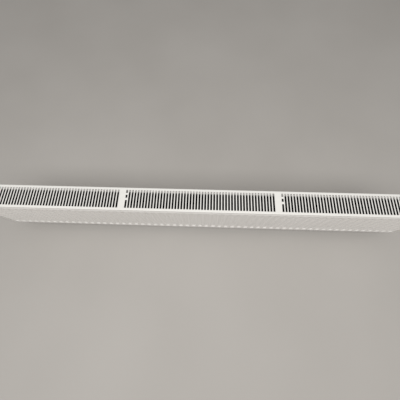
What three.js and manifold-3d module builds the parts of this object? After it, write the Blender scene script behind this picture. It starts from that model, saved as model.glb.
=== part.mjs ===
// A low steel panel radiator, 300 mm high and 2000 mm long, of the double-panel, double-convector kind,
// with its built-in valve and its two pipe connections at the lower right, hung on three wall brackets.
//
// Millimetres. +X runs along the heater to its right-hand end, +Y points into the wall and +Z is up.
// The origin is on the wall plane, at the heater's mid-length and mid-height.
// Pieces are drawn in bench coordinates: y = 0 is the front face, z = 0 the lower edge and x = 0 mid-length.

import * as THREE from "three";
import { mergeVertices } from "three/addons/utils/BufferGeometryUtils.js";
import Module from "manifold-3d";

const wasm = await Module();
wasm.setup();

// ---------------------------------------------------------------- driving dimensions

const LENGTH = 2000;
const HEIGHT = 300;
const DEPTH = 102;
const WALL_GAP = 38; // from the rear water panel to the wall
const GAP = 0.3; // between two pieces that touch
const END = LENGTH / 2;
const MID_Y = DEPTH / 2;
const WALL_Y = DEPTH + WALL_GAP;

// Water panels: two pressed sheets, seam-welded round the edge and joined at the floor of each flute.
const PANEL = { thick: 13, sheet: 1.25, halfLength: 997, top: 296, corner: 20 };
const SLOPE = (PANEL.thick - 2 * PANEL.sheet) / 2; // depth of a pressing, and the run of its sloping sides
const FLUTE = { pitch: 100 / 3, last: 29, mouth: 24, floor: 13.5, bottom: 31, top: 262 };
const PRESSING = { halfLength: 989, bottom: 5, top: 287 };
const PANEL_PORT = { bore: 12, low: 21, high: 273 }; // holes through the inner sheet into the tees

// Top grille: a lid with a skirt all round and three fields of slots across it.
const GRILLE = { sheet: 1.2, skirt: 12, pitch: 12.5, slot: 8, frontRim: 10.5, rearRim: 11 };
const FIELDS = [-53, 0, 53]; // first slot of each field, in pitches from the middle field's first slot
const FIELD_SLOTS = 51;
const FIELD_MIDDLE = 25; // the middle field's middle slot is at mid-length
const BRIDGES = [[13.5, 22.5], [36.5, 46]]; // webs across each field's first slot, from its rear end
const GRILLE_CLIP = { width: 5, sheet: 1.2, apart: 11, betweenFins: 46, overTee: 11 };

// Convectors: one corrugated sheet on the inner face of each water panel.
const FIN = { sheet: 0.6, depth: 30.5, base: 9, crown: 14, first: -28, last: 26, bottom: 30, top: 272 };

// Header tees, which join the two water panels at each corner and carry the tappings.
const TAP = { inset: 32, height: 27, tube: 26, passage: 16, boss: 30, bore: 19, face: 991, floor: 975 };
const TAP_X = END - TAP.inset;
const TAP_LOW = TAP.height;
const TAP_HIGH = HEIGHT - TAP.height;

// Bottom connections, at the lower right: the return is under the tee and the supply is 50 mm inboard.
const PORT = { spacing: 50, faceZ: 6, endZ: -14, bore: 15, thread: 26.4 };
const SUPPLY_X = TAP_X - PORT.spacing;
const NIPPLE = { hex: 31, hexLow: -1, hexHigh: 3.7, top: 16 };
const SOCKET_HEIGHT = 24;
const RISER = { outer: 18, bore: 15, bend: 20 };

// Plugs, as distances out from the face of the tapping that they are screwed into.
const PLUG = { flange: 26, flangeEnd: 4, hex: 19, hexEnd: 8, seal: 25, sealEnd: 1.5 };
const VENT = { neck: 11, neckEnd: 15, bore: 6.4, boreEnd: -2, way: 3 };
const SCREW = { stem: 5.6, stemStart: -1.7, stemEnd: 14, waist: 4.4, head: 7, headStart: 15.3, headEnd: 20 };
const NOZZLE = { outer: 19, end: 14.5, spout: 5, spoutBore: 2.4, spoutReach: 14 };

// Side covers, and the holes in them that the tappings are reached through.
const COVER = { sheet: 1.2, fold: 9, bottom: 16, top: 287.5, upperNotch: 40, lowerNotch: 32 };
const COVER_CLIP = { sheet: 0.7, reach: 8, half: 7, pinch: 0.35 };
const COVER_CLIP_HEIGHTS = { upper: 190, lower: 100 };

// Valve, along X at the upper right. The closing disc stands 2.8 mm off the seat and travels 2.5 mm.
const VALVE = { inlet: 940, seat: 956.2, seatBore: 8, seatThick: 3 };
const SPINDLE = { disc: 11, discStart: 959, discThick: 3, pin: 5, pinEnd: 1009 };
const INSERT = { sleeve: 12, sleeveStart: 966, threadStart: 978, hex: 27, hexEnd: 999, bore: 6 };
const NOSE = { outer: 30, end: 1006 }; // the nose of the insert, which the handwheel's nut screws to
const NUT = { outer: 35, start: 1001, web: 1007, end: 1010, hole: 22 };
const WHEEL = { outer: 38, end: 1036, hollow: 18, hollowEnd: 1026, grooves: 8, groove: 6, grooveStart: 1016 };

// Wall brackets, lugs and latches. The bracket's hook and the latch's tongue reach in behind the lugs.
const BRACKETS = { left: -26 * FLUTE.pitch, middle: 0, right: 26 * FLUTE.pitch };
const LUG = { length: 30, sheet: 2, reach: 10, half: 14, foot: 9, low: 45, high: 123 };
const RAIL = { half: 17, sheet: 2, depth: 20, bottom: 30, top: 190 };
const SCREW_SLOT = { half: 3.5, halfHeight: 8, heights: [70, 122] };
const HOOK = { half: 10, front: 105, back: 108, shelf: 35, shelfTop: 38, top: 62 };
const PAD_HALF = 13;
const LATCH = { half: 14, armHalf: 9, bottom: 134, tongue: 142, arm: 156, top: 160 };
const SPRING = { outer: 10, inner: 7 };

const ROUND = 16; // sides of an ordinary cylinder

// ---------------------------------------------------------------- finishes

const finish = (color, roughness, metalness) =>
  new THREE.MeshStandardMaterial({ color, roughness, metalness });
const whitePaint = finish(0xe9e9e4, 0.42, 0.0);
const primer = finish(0x3e403f, 0.7, 0.1);
const galvanised = finish(0xb4b8bb, 0.45, 0.9);
const nickel = finish(0xc9c6bd, 0.25, 1.0);
const brass = finish(0xb9975b, 0.3, 1.0);
const whitePlastic = finish(0xf0f0ec, 0.5, 0.0);
const greyPlastic = finish(0x5d6164, 0.6, 0.0);
const blackRubber = finish(0x1c1c1d, 0.85, 0.0);
const springSteel = finish(0x8f9499, 0.35, 1.0);

// ---------------------------------------------------------------- solids

// A closed geometry as a manifold-3d solid.
function solid(geometry) {
  const bare = geometry.clone();
  bare.deleteAttribute("normal");
  bare.deleteAttribute("uv");
  const merged = mergeVertices(bare, 1e-4);
  return new wasm.Manifold(
    new wasm.Mesh({
      numProp: 3,
      vertProperties: merged.attributes.position.array,
      triVerts: new Uint32Array(merged.index.array),
    }),
  );
}

function geometryOf(body) {
  const mesh = body.getMesh();
  const geometry = new THREE.BufferGeometry();
  geometry.setAttribute("position", new THREE.BufferAttribute(mesh.vertProperties, 3));
  geometry.setIndex(new THREE.BufferAttribute(mesh.triVerts, 1));
  return geometry;
}

const join = (...bodies) => bodies.reduce((sum, body) => sum.add(body));
const cut = (body, ...tools) => tools.reduce((rest, tool) => rest.subtract(tool), body);

function box(x0, x1, y0, y1, z0, z1) {
  const geometry = new THREE.BoxGeometry(x1 - x0, y1 - y0, z1 - z0);
  geometry.translate((x0 + x1) / 2, (y0 + y1) / 2, (z0 + z1) / 2);
  return solid(geometry);
}

// A block whose rectangle changes evenly from `near` at y0 to `far` at y1. A rectangle is [x0, x1, z0, z1].
function taper(near, y0, far, y1) {
  if (y0 > y1) return taper(far, y1, near, y0);
  const geometry = new THREE.BoxGeometry(1, 1, 1);
  const at = geometry.attributes.position;
  for (let i = 0; i < at.count; i++) {
    const isNear = at.getY(i) < 0;
    const [x0, x1, z0, z1] = isNear ? near : far;
    at.setXYZ(i, at.getX(i) < 0 ? x0 : x1, isNear ? y0 : y1, at.getZ(i) < 0 ? z0 : z1);
  }
  return solid(geometry);
}

// Cylinders along each axis, by diameter, from one end to the other, through the other two coordinates.
function rod(axis, diameter, from, to, a, b, sides = ROUND) {
  const geometry = new THREE.CylinderGeometry(diameter / 2, diameter / 2, to - from, sides);
  if (axis === "x") geometry.rotateZ(-Math.PI / 2).translate((from + to) / 2, a, b);
  if (axis === "y") geometry.translate(a, (from + to) / 2, b);
  if (axis === "z") geometry.rotateX(Math.PI / 2).translate(a, b, (from + to) / 2);
  return solid(geometry);
}

const rodX = (diameter, x0, x1, y, z, sides) => rod("x", diameter, x0, x1, y, z, sides);
const rodY = (diameter, y0, y1, x, z, sides) => rod("y", diameter, y0, y1, x, z, sides);
const rodZ = (diameter, z0, z1, x, y, sides) => rod("z", diameter, z0, z1, x, y, sides);
const ringX = (outer, inner, x0, x1, y, z, sides = 12) =>
  cut(rodX(outer, x0, x1, y, z, sides), rodX(inner, x0 - 1, x1 + 1, y, z, sides));
const ringZ = (outer, inner, z0, z1, x, y, sides = 16) =>
  cut(rodZ(outer, z0, z1, x, y, sides), rodZ(inner, z0 - 1, z1 + 1, x, y, sides));

// An outline of [x, y] points, extruded upwards from z0 to z1.
function prismZ(outline, z0, z1) {
  const shape = new THREE.Shape(outline.map(([x, y]) => new THREE.Vector2(x, y)));
  const geometry = new THREE.ExtrudeGeometry(shape, { depth: z1 - z0, bevelEnabled: false });
  geometry.translate(0, 0, z0);
  return solid(geometry);
}

// An outline of [y, z] points, extruded along X from x0 to x1.
function prismX(outline, x0, x1) {
  const shape = new THREE.Shape(outline.map(([y, z]) => new THREE.Vector2(y, z)));
  const geometry = new THREE.ExtrudeGeometry(shape, { depth: x1 - x0, bevelEnabled: false });
  geometry.rotateZ(Math.PI / 2).rotateY(Math.PI / 2).translate(x0, 0, 0);
  return solid(geometry);
}

// An upright plate with rounded corners.
function roundedPlate(x0, x1, y0, y1, z0, z1, radius) {
  const shape = new THREE.Shape();
  shape.absarc(x1 - radius, z1 - radius, radius, 0, Math.PI / 2);
  shape.absarc(x0 + radius, z1 - radius, radius, Math.PI / 2, Math.PI);
  shape.absarc(x0 + radius, z0 + radius, radius, Math.PI, 1.5 * Math.PI);
  shape.absarc(x1 - radius, z0 + radius, radius, 1.5 * Math.PI, 2 * Math.PI);
  const options = { depth: y1 - y0, bevelEnabled: false, curveSegments: 6 };
  const geometry = new THREE.ExtrudeGeometry(shape, options);
  geometry.rotateX(Math.PI / 2).translate(0, y1, 0);
  return solid(geometry);
}

const mirrorX = (body) => body.mirror([1, 0, 0]);
const mirrorDepth = (body) => body.translate([0, -MID_Y, 0]).mirror([0, 1, 0]).translate([0, MID_Y, 0]);

// ---------------------------------------------------------------- water panels

// One flute pressed into the front face, narrowing to its floor. Its cutter starts 1 mm in front of the face.
function flute(x) {
  const mouth = [x - FLUTE.mouth / 2, x + FLUTE.mouth / 2, FLUTE.bottom, FLUTE.top];
  const floor = [x - FLUTE.floor / 2, x + FLUTE.floor / 2, FLUTE.bottom + SLOPE, FLUTE.top - SLOPE];
  const before = mouth.map((value, i) => value + (value - floor[i]) / SLOPE);
  return taper(before, -1, floor, SLOPE);
}

// The front water panel: a flange all round, a raised pressing on each side, the flutes in its outer face,
// and the water space: a channel along the bottom and the top, joined by a column between each two flutes.
function waterPanel() {
  const { thick, sheet, halfLength, top, corner } = PANEL;
  const base = [-PRESSING.halfLength, PRESSING.halfLength, PRESSING.bottom, PRESSING.top];
  const crown = [base[0] + SLOPE, base[1] - SLOPE, base[2] + SLOPE, base[3] - SLOPE];
  const outer = join(
    roundedPlate(-halfLength, halfLength, SLOPE, thick - SLOPE, 0, top, corner),
    taper(crown, 0, base, SLOPE + sheet / 2),
    taper(base, thick - SLOPE - sheet / 2, crown, thick),
  );
  const flutes = [];
  const islands = [];
  const islandHalf = FLUTE.mouth / 2 + sheet / 2;
  const islandEnds = [FLUTE.bottom - sheet / 2, FLUTE.top + sheet / 2];
  for (let i = -FLUTE.last; i <= FLUTE.last; i++) {
    const x = i * FLUTE.pitch;
    flutes.push(flute(x));
    islands.push(box(x - islandHalf, x + islandHalf, -1, thick + 1, ...islandEnds));
  }
  const [x0, x1, z0, z1] = crown;
  const water = cut(box(x0 + sheet, x1 - sheet, sheet, thick - sheet, z0 + sheet, z1 - sheet), ...islands);
  const ports = [];
  for (const x of [-TAP_X, TAP_X]) {
    for (const z of [PANEL_PORT.low, PANEL_PORT.high]) {
      ports.push(rodY(PANEL_PORT.bore, thick - 2 * sheet, thick + 1, x, z, 12));
    }
  }
  return cut(outer, wasm.Manifold.union(flutes), water, ...ports);
}

// ---------------------------------------------------------------- convectors

// A sheet of the given thickness along a polyline of [x, y] points, as a closed outline with mitred corners.
function ribbon(points, thickness) {
  const side = (sign) =>
    points.map((point, i) => {
      const before = points[Math.max(i - 1, 0)];
      const after = points[Math.min(i + 1, points.length - 1)];
      const unit = (a, b) => {
        const d = Math.hypot(b[0] - a[0], b[1] - a[1]) || 1;
        return [(b[0] - a[0]) / d, (b[1] - a[1]) / d];
      };
      const u = i > 0 ? unit(before, point) : unit(point, after);
      const v = i < points.length - 1 ? unit(point, after) : u;
      const mitre = (sign * thickness) / 2 / (1 + u[0] * v[0] + u[1] * v[1]);
      return [point[0] - (u[1] + v[1]) * mitre, point[1] + (u[0] + v[0]) * mitre];
    });
  return [...side(-1), ...side(1).reverse()];
}

// The front convector: flats on the panel's crests, and crowns that reach back towards the middle.
function convector() {
  const near = PANEL.thick + GAP + FIN.sheet / 2;
  const far = near + FIN.depth - FIN.sheet;
  const lean = (FLUTE.pitch - FIN.base - FIN.crown) / 2;
  const wave = [];
  for (let i = FIN.first; i <= FIN.last; i++) {
    const x = (i + 0.5) * FLUTE.pitch;
    wave.push([x - FIN.base / 2, near], [x + FIN.base / 2, near]);
    if (i < FIN.last) wave.push([x + FIN.base / 2 + lean, far], [x + FIN.base / 2 + lean + FIN.crown, far]);
  }
  return prismZ(ribbon(wave, FIN.sheet), FIN.bottom, FIN.top);
}

// ---------------------------------------------------------------- casing

// The lid: a shallow tray turned upside down, with the slots cut through it.
function topGrille() {
  const under = HEIGHT - GRILLE.sheet;
  const skirtEnd = HEIGHT - GRILLE.skirt;
  const shell = cut(
    box(-END, END, 0, DEPTH, skirtEnd, HEIGHT),
    box(-END + GRILLE.sheet, END - GRILLE.sheet, GRILLE.sheet, DEPTH - GRILLE.sheet, skirtEnd - 1, under),
  );
  const slotRear = DEPTH - GRILLE.rearRim;
  const slots = [];
  const slot = (x, y0, y1) => box(x - GRILLE.slot / 2, x + GRILLE.slot / 2, y0, y1, under - 1, HEIGHT + 1);
  for (const first of FIELDS) {
    const firstX = (first - FIELD_MIDDLE) * GRILLE.pitch;
    const edges = [slotRear, ...BRIDGES.flat().map((d) => slotRear - d), GRILLE.frontRim];
    for (let i = 0; i < edges.length; i += 2) slots.push(slot(firstX, edges[i + 1], edges[i]));
    for (let i = 1; i < FIELD_SLOTS; i++) {
      slots.push(slot(firstX + i * GRILLE.pitch, GRILLE.frontRim, slotRear));
    }
  }
  return cut(shell, wasm.Manifold.union(slots));
}

// A spring clip under the front web of a field's first slot: a short bar with two legs of the given reach.
function grilleClip(x, reach) {
  const { width, sheet, apart } = GRILLE_CLIP;
  const top = HEIGHT - GRILLE.sheet - GAP;
  const inner = apart / 2;
  const outer = inner + sheet;
  return prismX(
    [
      [MID_Y - outer, top],
      [MID_Y + outer, top],
      [MID_Y + outer, top - reach],
      [MID_Y + inner, top - reach],
      [MID_Y + inner, top - sheet],
      [MID_Y - inner, top - sheet],
      [MID_Y - inner, top - reach],
      [MID_Y - outer, top - reach],
    ],
    x - width / 2,
    x + width / 2,
  );
}

// The right-hand side cover: a tray over the ends of the panels, with a notch at each tapping.
function sideCover() {
  const { sheet, fold, bottom, top, upperNotch, lowerNotch } = COVER;
  const wall = [END - sheet - 1, END + 1];
  return cut(
    box(END - fold, END, 0, DEPTH, bottom, top),
    box(END - fold - 1, END - sheet, sheet, DEPTH - sheet, bottom - 1, top + 1),
    rodX(lowerNotch, ...wall, MID_Y, TAP_LOW, 20),
    box(...wall, MID_Y - lowerNotch / 2, MID_Y + lowerNotch / 2, bottom - 1, TAP_LOW),
    rodX(upperNotch, ...wall, MID_Y, TAP_HIGH, 20),
    box(...wall, MID_Y - upperNotch / 2, MID_Y + upperNotch / 2, TAP_HIGH, top + 1),
  );
}

// A spring clip inside the right-hand cover, gripping the front panel's end flange at height z.
function coverClip(z) {
  const { sheet, reach, half, pinch } = COVER_CLIP;
  const web = END - COVER.sheet - GAP;
  const front = SLOPE - pinch;
  const back = PANEL.thick - SLOPE + pinch;
  return prismZ(
    [
      [web, front - sheet],
      [web, back + sheet],
      [web - reach, back + sheet],
      [web - reach, back],
      [web - sheet, back],
      [web - sheet, front],
      [web - reach, front],
      [web - reach, front - sheet],
    ],
    z - half,
    z + half,
  );
}

// ---------------------------------------------------------------- tees, connections and riser

// What every tee has: the cross tube between the panels, the way through it, and the tapping's bore.
const crossTube = (z) => rodY(TAP.tube, PANEL.thick + GAP, DEPTH - PANEL.thick - GAP, TAP_X, z);
const crossWay = (z) => rodY(TAP.passage, 0, DEPTH, TAP_X, z, 12);
const tapping = (z, start) => rodX(TAP.bore, start, TAP.face + 1, MID_Y, z, 12);

// The right-hand tee at height z, with its outward boss.
function tee(z) {
  const boss = rodX(TAP.boss, TAP_X, TAP.face, MID_Y, z);
  return cut(join(crossTube(z), boss), crossWay(z), tapping(z, TAP.floor - 8));
}

// The lower right tee also has a socket under it for the return pipe.
function returnTee() {
  const boss = rodX(TAP.boss, TAP_X, TAP.face, MID_Y, TAP_LOW);
  const socket = rodZ(TAP.boss, PORT.faceZ, TAP_LOW, TAP_X, MID_Y);
  const socketBore = rodZ(TAP.bore, PORT.faceZ - 1, TAP_LOW, TAP_X, MID_Y, 12);
  const outside = join(crossTube(TAP_LOW), boss, socket);
  return cut(outside, crossWay(TAP_LOW), tapping(TAP_LOW, TAP.floor - 8), socketBore);
}

const supplySocket = () =>
  ringZ(TAP.boss, TAP.bore, PORT.faceZ, PORT.faceZ + SOCKET_HEIGHT, SUPPLY_X, MID_Y, ROUND);

// The pipe from the supply socket up and over into the valve body.
function supplyRiser() {
  const foot = PORT.faceZ + SOCKET_HEIGHT + GAP;
  const path = new THREE.CurvePath();
  const corner = new THREE.Vector3(SUPPLY_X, MID_Y, TAP_HIGH);
  const bendStart = corner.clone().setZ(TAP_HIGH - RISER.bend);
  const bendEnd = corner.clone().setX(SUPPLY_X + RISER.bend);
  path.add(new THREE.LineCurve3(new THREE.Vector3(SUPPLY_X, MID_Y, foot), bendStart));
  path.add(new THREE.QuadraticBezierCurve3(bendStart, corner, bendEnd));
  path.add(new THREE.LineCurve3(bendEnd, new THREE.Vector3(VALVE.inlet - GAP, MID_Y, TAP_HIGH)));
  const pipe = (diameter) => {
    const ring = new THREE.Shape().absarc(0, 0, diameter / 2, 0, 2 * Math.PI, false);
    return solid(new THREE.ExtrudeGeometry(ring, { steps: 12, curveSegments: 6, extrudePath: path }));
  };
  return cut(pipe(RISER.outer), pipe(RISER.bore));
}

// A pipe nipple screwed into the socket at x: threaded top, hexagon, and the outer thread below.
function nipple(x) {
  return cut(
    join(
      rodZ(TAP.bore - 2 * GAP, NIPPLE.hexHigh - 1, NIPPLE.top, x, MID_Y, 12),
      rodZ(NIPPLE.hex, NIPPLE.hexLow, NIPPLE.hexHigh, x, MID_Y, 6),
      rodZ(PORT.thread, PORT.endZ, NIPPLE.hexLow + 1, x, MID_Y, ROUND),
    ),
    rodZ(PORT.bore, PORT.endZ - 1, NIPPLE.top + 1, x, MID_Y, ROUND),
  );
}

const nippleSeal = (x) => ringZ(TAP.boss - 2, TAP.bore, NIPPLE.hexHigh + GAP, PORT.faceZ - GAP, x, MID_Y, 12);

// ---------------------------------------------------------------- plugs and air vent, for the right-hand end

// A blind plug: thread, flange and hexagon.
function blindPlug(z) {
  return join(
    rodX(TAP.bore - 2 * GAP, TAP.floor + 2, TAP.face + PLUG.sealEnd + 1, MID_Y, z, 12),
    rodX(PLUG.flange, TAP.face + PLUG.sealEnd + GAP, TAP.face + PLUG.flangeEnd, MID_Y, z),
    rodX(PLUG.hex, TAP.face + PLUG.flangeEnd - 1, TAP.face + PLUG.hexEnd, MID_Y, z, 6),
  );
}

const plugSeal = (z) => ringX(PLUG.seal, TAP.bore, TAP.face + GAP, TAP.face + PLUG.sealEnd, MID_Y, z);

// The vent plug: a blind plug with a stepped bore along it for the bleed screw and a neck for the nozzle.
function ventPlug(z) {
  return cut(
    join(blindPlug(z), rodX(VENT.neck, TAP.face + PLUG.hexEnd - 1, TAP.face + VENT.neckEnd, MID_Y, z, 12)),
    rodX(VENT.bore, TAP.face + VENT.boreEnd, TAP.face + VENT.neckEnd + 1, MID_Y, z, 12),
    rodX(VENT.way, TAP.floor, TAP.face + VENT.boreEnd + 1, MID_Y, z, 12),
  );
}

// The bleed screw: its stem in the plug, a waist, and a square head for the key.
function bleedScrew(z) {
  return join(
    rodX(SCREW.stem, TAP.face + SCREW.stemStart, TAP.face + SCREW.stemEnd, MID_Y, z, 12),
    rodX(SCREW.waist, TAP.face + SCREW.stemEnd - 1, TAP.face + SCREW.headStart + 1, MID_Y, z, 12),
    rodX(SCREW.head, TAP.face + SCREW.headStart, TAP.face + SCREW.headEnd, MID_Y, z, 4),
  );
}

// The swivelling plastic nozzle round the neck, with its outlet spout.
function ventNozzle(z) {
  const x0 = TAP.face + PLUG.hexEnd + GAP;
  const x1 = TAP.face + NOZZLE.end;
  const middle = (x0 + x1) / 2;
  return cut(
    join(
      rodX(NOZZLE.outer, x0, x1, MID_Y, z),
      rodZ(NOZZLE.spout, z - NOZZLE.spoutReach, z - VENT.neck / 2 - 1, middle, MID_Y, 12),
    ),
    rodX(VENT.neck + 2 * GAP, x0 - 1, x1 + 1, MID_Y, z, 12),
    rodZ(NOZZLE.spoutBore, z - NOZZLE.spoutReach - 1, z - VENT.neck / 2 + 1, middle, MID_Y, 8),
  );
}

// ---------------------------------------------------------------- valve

// The upper right tee, made longer for the valve: the pipe's end, the seat, the chamber and the tapping.
function valveBody() {
  const z = TAP_HIGH;
  const barrel = rodX(TAP.boss, VALVE.inlet, TAP.face, MID_Y, z);
  const inletBore = rodX(RISER.bore, VALVE.inlet - 1, VALVE.seat - VALVE.seatThick, MID_Y, z, 12);
  const seatBore = rodX(VALVE.seatBore, VALVE.inlet - 1, VALVE.seat + 1, MID_Y, z, 12);
  return cut(join(crossTube(z), barrel), crossWay(z), tapping(z, VALVE.seat), inletBore, seatBore);
}

// The brass insert: a slim sleeve in the chamber, the thread, the hexagon and the nose.
function valveInsert() {
  const z = TAP_HIGH;
  const hexStart = TAP.face + 2;
  return cut(
    join(
      rodX(INSERT.sleeve, INSERT.sleeveStart, INSERT.threadStart + 1, MID_Y, z, 12),
      rodX(TAP.bore - 2 * GAP, INSERT.threadStart, hexStart + 1, MID_Y, z, 12),
      rodX(INSERT.hex, hexStart, INSERT.hexEnd, MID_Y, z, 6),
      rodX(NOSE.outer, INSERT.hexEnd - 0.5, NOSE.end, MID_Y, z),
    ),
    rodX(INSERT.bore, INSERT.sleeveStart - 1, NOSE.end + 1, MID_Y, z, 12),
  );
}

const valveSeal = () => ringX(PLUG.seal, TAP.bore, TAP.face + GAP, TAP.face + 2 - GAP, MID_Y, TAP_HIGH);

// The spindle: the closing disc on its pin, pushed in by the handwheel.
function valveSpindle() {
  const discEnd = SPINDLE.discStart + SPINDLE.discThick;
  return join(
    rodX(SPINDLE.disc, SPINDLE.discStart, discEnd, MID_Y, TAP_HIGH, ROUND),
    rodX(SPINDLE.pin, discEnd - 1, SPINDLE.pinEnd, MID_Y, TAP_HIGH, 12),
  );
}

// The nut that holds the handwheel's foot on the nose: open behind, with a hole in its outer web.
function wheelNut() {
  return cut(
    rodX(NUT.outer, NUT.start, NUT.end, MID_Y, TAP_HIGH),
    rodX(NOSE.outer + 2 * GAP, NUT.start - 1, NUT.web, MID_Y, TAP_HIGH),
    rodX(NUT.hole, NUT.web - 1, NUT.end + 1, MID_Y, TAP_HIGH, ROUND),
  );
}

// The handwheel: a grooved cap, hollow where the spindle ends.
function handwheel() {
  const cap = rodX(WHEEL.outer, NUT.end + GAP, WHEEL.end, MID_Y, TAP_HIGH, 24);
  const hollow = rodX(WHEEL.hollow, NUT.end - 1, WHEEL.hollowEnd, MID_Y, TAP_HIGH, ROUND);
  const reach = WHEEL.outer / 2 + 1;
  const grooves = [];
  for (let i = 0; i < WHEEL.grooves; i++) {
    const turn = (2 * Math.PI * i) / WHEEL.grooves;
    const y = MID_Y + reach * Math.cos(turn);
    const z = TAP_HIGH + reach * Math.sin(turn);
    grooves.push(rodX(WHEEL.groove, WHEEL.grooveStart, WHEEL.end + 1, y, z, 8));
  }
  return cut(cap, hollow, ...grooves);
}

// ---------------------------------------------------------------- lugs, brackets and latches

// A lug: a strap welded across a flute of the rear panel, open at its top and bottom.
function lug(x, z) {
  const { sheet, reach, half, foot, length } = LUG;
  const face = DEPTH + GAP;
  return prismZ(
    [
      [x - half - foot, face],
      [x - half + sheet, face],
      [x - half + sheet, face + reach - sheet],
      [x + half - sheet, face + reach - sheet],
      [x + half - sheet, face],
      [x + half + foot, face],
      [x + half + foot, face + sheet],
      [x + half, face + sheet],
      [x + half, face + reach],
      [x - half, face + reach],
      [x - half, face + sheet],
      [x - half - foot, face + sheet],
    ],
    z,
    z + length,
  );
}

// The wall bracket: a rail open towards the heater, a stop at its top, and the hook for the lower lug.
function bracket(x) {
  const { half, sheet, depth, bottom, top } = RAIL;
  const mouth = WALL_Y - depth;
  const rail = cut(
    box(x - half, x + half, mouth, WALL_Y, bottom, top),
    box(x - half + sheet, x + half - sheet, mouth - 1, WALL_Y - sheet, bottom - 1, top - sheet),
  );
  const shelf = box(x - HOOK.half, x + HOOK.half, HOOK.front, WALL_Y - 1, HOOK.shelf, HOOK.shelfTop);
  const hook = box(x - HOOK.half, x + HOOK.half, HOOK.front, HOOK.back, HOOK.shelf, HOOK.top);
  const screwSlots = SCREW_SLOT.heights.map((z) => {
    const across = [x - SCREW_SLOT.half, x + SCREW_SLOT.half];
    const [low, high] = [z - SCREW_SLOT.halfHeight, z + SCREW_SLOT.halfHeight];
    return box(...across, WALL_Y - sheet - 1, WALL_Y + 1, low, high);
  });
  return cut(join(rail, shelf, hook), ...screwSlots);
}

// The plastic pad on the bracket's shelf, which the lower lug rests on.
function pad(x) {
  const front = HOOK.back + GAP;
  const back = WALL_Y - RAIL.depth - GAP;
  return box(x - PAD_HALF, x + PAD_HALF, front, back, HOOK.shelfTop + GAP, LUG.low - GAP);
}

// The latch: a block that slides in the rail, an arm over the upper lug, and a tongue down inside it.
function latch(x) {
  const { half, armHalf, bottom, tongue, arm, top } = LATCH;
  const back = WALL_Y - RAIL.sheet - GAP;
  return join(
    box(x - half, x + half, WALL_Y - RAIL.depth + 2, back, bottom, top),
    box(x - armHalf, x + armHalf, HOOK.front, WALL_Y - RAIL.depth / 2, arm, top),
    box(x - armHalf, x + armHalf, HOOK.front, HOOK.back, tongue, top),
  );
}

// The outer shape of the coil spring between the latch and the rail's stop.
function latchSpring(x) {
  const top = RAIL.top - RAIL.sheet - GAP;
  return ringZ(SPRING.outer, SPRING.inner, LATCH.top + GAP, top, x, WALL_Y - RAIL.depth / 2, 12);
}

// ---------------------------------------------------------------- assembly

const heater = new THREE.Group();
heater.position.set(0, -WALL_Y, -HEIGHT / 2);

function add(name, body, material) {
  const mesh = new THREE.Mesh(geometryOf(body), material);
  mesh.name = name;
  heater.add(mesh);
}

const panel = waterPanel();
add("front_water_panel", panel, whitePaint);
add("rear_water_panel", mirrorDepth(panel), whitePaint);
const fins = convector();
add("front_convector", fins, primer);
add("rear_convector", mirrorDepth(fins), primer);

add("top_left_tee", mirrorX(tee(TAP_HIGH)), whitePaint);
add("bottom_left_tee", mirrorX(tee(TAP_LOW)), whitePaint);
add("bottom_right_tee", returnTee(), whitePaint);
add("supply_socket", supplySocket(), whitePaint);
add("supply_riser", supplyRiser(), whitePaint);
add("supply_nipple", nipple(SUPPLY_X), nickel);
add("return_nipple", nipple(TAP_X), nickel);
add("supply_nipple_seal", nippleSeal(SUPPLY_X), blackRubber);
add("return_nipple_seal", nippleSeal(TAP_X), blackRubber);

add("right_blind_plug", blindPlug(TAP_LOW), nickel);
add("right_blind_plug_seal", plugSeal(TAP_LOW), blackRubber);
add("left_blind_plug", mirrorX(blindPlug(TAP_LOW)), nickel);
add("left_blind_plug_seal", mirrorX(plugSeal(TAP_LOW)), blackRubber);
add("vent_plug", mirrorX(ventPlug(TAP_HIGH)), nickel);
add("vent_plug_seal", mirrorX(plugSeal(TAP_HIGH)), blackRubber);
add("bleed_screw", mirrorX(bleedScrew(TAP_HIGH)), brass);
add("vent_nozzle", mirrorX(ventNozzle(TAP_HIGH)), whitePlastic);

add("valve_body", valveBody(), whitePaint);
add("valve_insert", valveInsert(), brass);
add("valve_insert_seal", valveSeal(), blackRubber);
add("valve_spindle", valveSpindle(), nickel);
add("handwheel_nut", wheelNut(), whitePlastic);
add("handwheel", handwheel(), whitePlastic);

add("top_grille", topGrille(), whitePaint);
FIELDS.forEach((first, i) => {
  const name = `grille_clip_${["left", "middle", "right"][i]}`;
  const reach = i === 0 ? GRILLE_CLIP.overTee : GRILLE_CLIP.betweenFins;
  add(name, grilleClip((first - FIELD_MIDDLE) * GRILLE.pitch, reach), springSteel);
});

const cover = sideCover();
add("right_side_cover", cover, whitePaint);
add("left_side_cover", mirrorX(cover), whitePaint);
for (const [level, z] of Object.entries(COVER_CLIP_HEIGHTS)) {
  const clip = coverClip(z);
  add(`right_cover_front_clip_${level}`, clip, springSteel);
  add(`right_cover_rear_clip_${level}`, mirrorDepth(clip), springSteel);
  add(`left_cover_front_clip_${level}`, mirrorX(clip), springSteel);
  add(`left_cover_rear_clip_${level}`, mirrorX(mirrorDepth(clip)), springSteel);
}

for (const [side, x] of Object.entries(BRACKETS)) {
  add(`upper_lug_${side}`, lug(x, LUG.high), whitePaint);
  add(`lower_lug_${side}`, lug(x, LUG.low), whitePaint);
  add(`wall_bracket_${side}`, bracket(x), galvanised);
  add(`bracket_pad_${side}`, pad(x), greyPlastic);
  add(`bracket_latch_${side}`, latch(x), greyPlastic);
  add(`latch_spring_${side}`, latchSpring(x), springSteel);
}

export default heater;
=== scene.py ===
"""A low white panel radiator, 2 m long, in a plain studio: its looks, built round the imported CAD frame.

Lengths are in metres, in the row frame: +X along the heater, +Y into the wall, +Z up.
"""

import math

import bmesh
import bpy
from mathutils import Matrix, Vector


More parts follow.
